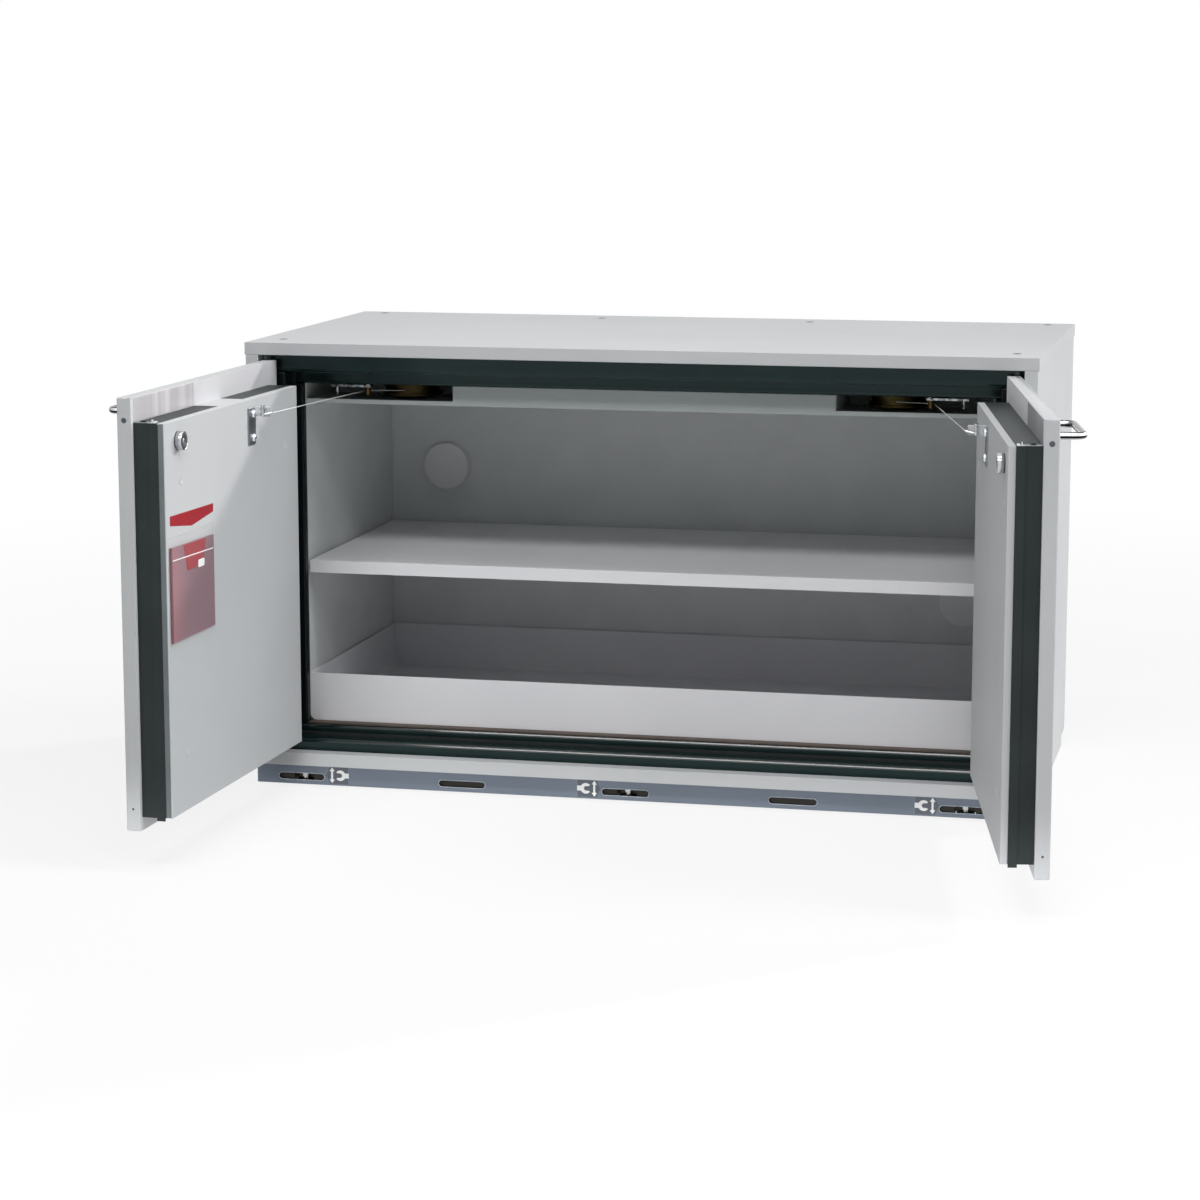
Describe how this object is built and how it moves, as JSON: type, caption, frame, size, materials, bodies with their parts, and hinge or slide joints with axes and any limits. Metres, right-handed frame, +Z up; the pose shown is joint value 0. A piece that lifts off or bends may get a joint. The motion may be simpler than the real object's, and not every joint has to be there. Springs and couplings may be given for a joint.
{
  "type": "flammable storage cabinet",
  "caption": "Low under-bench fire cabinet with two thick plug doors on wire closers, a shelf, a spill sump and spanner-set levelling feet.",
  "frame": {"origin": "on the floor under the middle of the body's footprint, on the underside of the centre runner", "axes": "+Z up, the doors open towards -Y, +X to the right seen from the front"},
  "size_m": [1.2245, 1.0882, 0.63],
  "materials": {
    "paint": "satin",
    "kick_paint": "satin",
    "fire_board": "matte",
    "frame_board": "satin",
    "lining": "satin",
    "floor_lining": "satin",
    "edge_strip": "matte",
    "seal": "matte",
    "zinc": "satin",
    "chrome": "polished",
    "brass": "satin",
    "dark_plastic": "matte",
    "bush": "matte",
    "film": "clear",
    "paper": "matte",
    "wire": "stranded"
  },
  "bodies": {
    "cabinet": {"top_panel": "paint", "left_side_panel": "paint", "right_side_panel": "paint", "rear_panel": "paint", "base_panel": "paint", "kick_rail": "kick_paint", "centre_runner": "kick_paint", "foot_blocks": "zinc", "top_plugs": "dark_plastic", "wall_boards": "fire_board", "frame_rails": "frame_board", "frame_jambs": "frame_board", "frame_seals": "seal", "floor_lining": "floor_lining", "wall_linings": "lining", "valance": "paint", "shelf_studs": "zinc", "duct_sleeves": "zinc", "door_pivots": "zinc", "closer_housings": "zinc", "closer_plates": "zinc", "closer_levers": "chrome", "wire_guides": "brass", "left_wire": "wire", "right_wire": "wire"},
    "left_door": {"left_door_pan": "paint", "left_door_lid": "paint", "left_door_boards": "fire_board", "left_door_edges": "edge_strip", "left_inner_panel": "paint", "left_door_bushes": "bush", "left_handle": "chrome", "left_catch": "chrome", "left_wire_bracket": "zinc", "left_wire_swivel": "zinc", "left_bracket_screws": "chrome", "left_edge_plugs": "dark_plastic", "document_pocket": "film", "booklet": "paper"},
    "right_door": {"right_door_pan": "paint", "right_door_lid": "paint", "right_door_boards": "fire_board", "right_door_edges": "edge_strip", "right_inner_panel": "paint", "right_door_bushes": "bush", "right_handle": "chrome", "right_catch": "chrome", "right_wire_bracket": "zinc", "right_wire_swivel": "zinc", "right_bracket_screws": "chrome", "right_edge_plugs": "dark_plastic"},
    "left_reel_body": {"left_reel": "dark_plastic"},
    "right_reel_body": {"right_reel": "dark_plastic"},
    "shelf_body": {"shelf": "paint"},
    "sump_body": {"sump_tray": "paint"},
    "front_left_foot_body": {"front_left_foot": "zinc"},
    "front_centre_foot_body": {"front_centre_foot": "zinc"},
    "front_right_foot_body": {"front_right_foot": "zinc"},
    "rear_left_foot_body": {"rear_left_foot": "zinc"},
    "rear_right_foot_body": {"rear_right_foot": "zinc"}
  },
  "joints": [
    {"name": "left_door_hinge", "type": "hinge", "parent": "cabinet", "child": "left_door", "pos_m": [-0.5215, -0.2815, 0.33], "axis": [0, 0, 1], "range_deg": [-13.5, 91.5], "deforming": ["left_wire"]},
    {"name": "right_door_hinge", "type": "hinge", "parent": "cabinet", "child": "right_door", "pos_m": [0.5215, -0.2815, 0.33], "axis": [0, 0, -1], "range_deg": [-4.5, 100.5], "deforming": ["right_wire"]},
    {"name": "left_reel_spin", "type": "hinge", "parent": "cabinet", "child": "left_reel_body", "pos_m": [-0.348, -0.1475, 0.557], "axis": [0, 0, 1], "range_deg": [-46, 305]},
    {"name": "right_reel_spin", "type": "hinge", "parent": "cabinet", "child": "right_reel_body", "pos_m": [0.348, -0.1475, 0.557], "axis": [0, 0, -1], "range_deg": [-16, 335]},
    {"name": "shelf_lift", "type": "slide", "parent": "cabinet", "child": "shelf_body", "axis": [0, 0, 1], "range_m": [0, 0.04]},
    {"name": "sump_lift", "type": "slide", "parent": "cabinet", "child": "sump_body", "axis": [0, 0, 1], "range_m": [0, 0.03]},
    {"name": "front_left_level", "type": "slide", "parent": "cabinet", "child": "front_left_foot_body", "axis": [0, 0, 1], "range_m": [-0.008, 0]},
    {"name": "front_centre_level", "type": "slide", "parent": "cabinet", "child": "front_centre_foot_body", "axis": [0, 0, 1], "range_m": [-0.008, 0]},
    {"name": "front_right_level", "type": "slide", "parent": "cabinet", "child": "front_right_foot_body", "axis": [0, 0, 1], "range_m": [-0.008, 0]},
    {"name": "rear_left_level", "type": "slide", "parent": "cabinet", "child": "rear_left_foot_body", "axis": [0, 0, 1], "range_m": [-0.008, 0]},
    {"name": "rear_right_level", "type": "slide", "parent": "cabinet", "child": "rear_right_foot_body", "axis": [0, 0, 1], "range_m": [-0.008, 0]}
  ],
  "couplings": [
    {"joint": "left_reel_spin", "follows": "left_door_hinge", "ratio": 3.3},
    {"joint": "right_reel_spin", "follows": "right_door_hinge", "ratio": 3.3}
  ]
}
